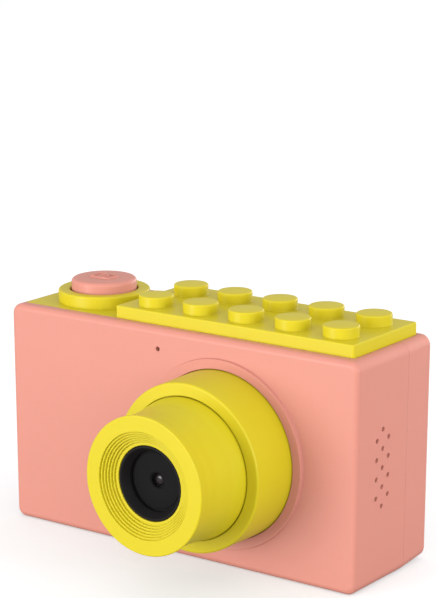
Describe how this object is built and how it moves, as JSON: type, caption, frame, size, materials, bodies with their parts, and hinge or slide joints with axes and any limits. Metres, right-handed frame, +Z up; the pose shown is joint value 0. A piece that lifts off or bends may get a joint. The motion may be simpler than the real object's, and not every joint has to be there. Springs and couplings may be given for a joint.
{
  "type": "kids digital camera",
  "caption": "Small box-shaped children's digital camera: rounded shell, stubby fixed lens, block-and-stud top plate, round shutter button, rear screen and keys, side card slot.",
  "frame": {"origin": "centre of the case, taken at half its height and without the lens tube, on its lowest plane", "axes": "+Z up, -Y out of the lens, +X to the right of someone facing the lens"},
  "size_m": [0.0844, 0.0523, 0.0507],
  "materials": {
    "shell_pink": "satin moulded",
    "plate_yellow": "satin moulded",
    "hood_black": "fine matte",
    "iris_grey": "matte",
    "chip_black": "matte",
    "lens_glass": "polished",
    "window_smoke": "polished",
    "film_amber": "film",
    "screw_zinc": "plated",
    "spring_steel": "bright",
    "board_green": "lacquered",
    "led_white": "diffuse",
    "battery_foil": "satin foil",
    "boot_rubber": "matte",
    "cable_red": "insulation"
  },
  "bodies": {
    "camera_body": {"front_case": "shell_pink", "rear_case": "shell_pink", "top_plate": "plate_yellow", "lens_base": "plate_yellow", "lens_barrel": "plate_yellow", "shutter_guide": "plate_yellow", "lens_hood": "hood_black", "lens_retainer": "hood_black", "speaker_driver": "hood_black", "lens_iris": "iris_grey", "camera_module": "chip_black", "shutter_switch": "chip_black", "processor_chip": "chip_black", "memory_chip": "chip_black", "camera_socket": "chip_black", "switch_up": "chip_black", "switch_down": "chip_black", "switch_left": "chip_black", "switch_right": "chip_black", "switch_ok": "chip_black", "switch_play": "chip_black", "switch_power": "chip_black", "module_lens": "lens_glass", "lcd_window": "window_smoke", "camera_flex": "film_amber", "lcd_flex": "film_amber", "lens_screw_1": "screw_zinc", "lens_screw_2": "screw_zinc", "lens_screw_3": "screw_zinc", "board_screw_left": "screw_zinc", "board_screw_bottom": "screw_zinc", "board_screw_right": "screw_zinc", "plate_screw_1": "screw_zinc", "plate_screw_2": "screw_zinc", "cover_screw_top_left": "screw_zinc", "cover_screw_top_right": "screw_zinc", "cover_screw_bottom_left": "screw_zinc", "cover_screw_bottom_right": "screw_zinc", "microphone": "screw_zinc", "shutter_spring": "spring_steel", "card_socket": "spring_steel", "usb_port": "spring_steel", "lcd_module": "spring_steel", "shutter_board": "board_green", "main_board": "board_green", "charge_led": "led_white", "battery_cell": "battery_foil", "microphone_boot": "boot_rubber", "battery_cable": "cable_red", "speaker_cable": "cable_red", "shutter_cable": "cable_red"},
    "shutter": {"shutter_button": "shell_pink"},
    "card": {"memory_card": "iris_grey"},
    "key_up": {"key_up": "plate_yellow"},
    "key_down": {"key_down": "plate_yellow"},
    "key_left": {"key_left": "plate_yellow"},
    "key_right": {"key_right": "plate_yellow"},
    "key_ok": {"key_ok": "plate_yellow"},
    "key_play": {"key_play": "plate_yellow"},
    "key_power": {"key_power": "plate_yellow"}
  },
  "joints": [
    {"name": "shutter_press", "type": "slide", "parent": "camera_body", "child": "shutter", "axis": [0, 0, -1], "range_m": [0, 0.0012], "stiffness_N_per_m": 900, "deforming": ["shutter_spring"]},
    {"name": "card_slide", "type": "slide", "parent": "camera_body", "child": "card", "axis": [-1, 0, 0], "range_m": [0, 0.015]},
    {"name": "key_up_press", "type": "slide", "parent": "camera_body", "child": "key_up", "axis": [0, -1, 0], "range_m": [0, 0.0006], "stiffness_N_per_m": 1500},
    {"name": "key_down_press", "type": "slide", "parent": "camera_body", "child": "key_down", "axis": [0, -1, 0], "range_m": [0, 0.0006], "stiffness_N_per_m": 1500},
    {"name": "key_left_press", "type": "slide", "parent": "camera_body", "child": "key_left", "axis": [0, -1, 0], "range_m": [0, 0.0006], "stiffness_N_per_m": 1500},
    {"name": "key_right_press", "type": "slide", "parent": "camera_body", "child": "key_right", "axis": [0, -1, 0], "range_m": [0, 0.0006], "stiffness_N_per_m": 1500},
    {"name": "key_ok_press", "type": "slide", "parent": "camera_body", "child": "key_ok", "axis": [0, -1, 0], "range_m": [0, 0.0006], "stiffness_N_per_m": 1500},
    {"name": "key_play_press", "type": "slide", "parent": "camera_body", "child": "key_play", "axis": [0, -1, 0], "range_m": [0, 0.0006], "stiffness_N_per_m": 1500},
    {"name": "key_power_press", "type": "slide", "parent": "camera_body", "child": "key_power", "axis": [0, -1, 0], "range_m": [0, 0.0006], "stiffness_N_per_m": 1500}
  ]
}
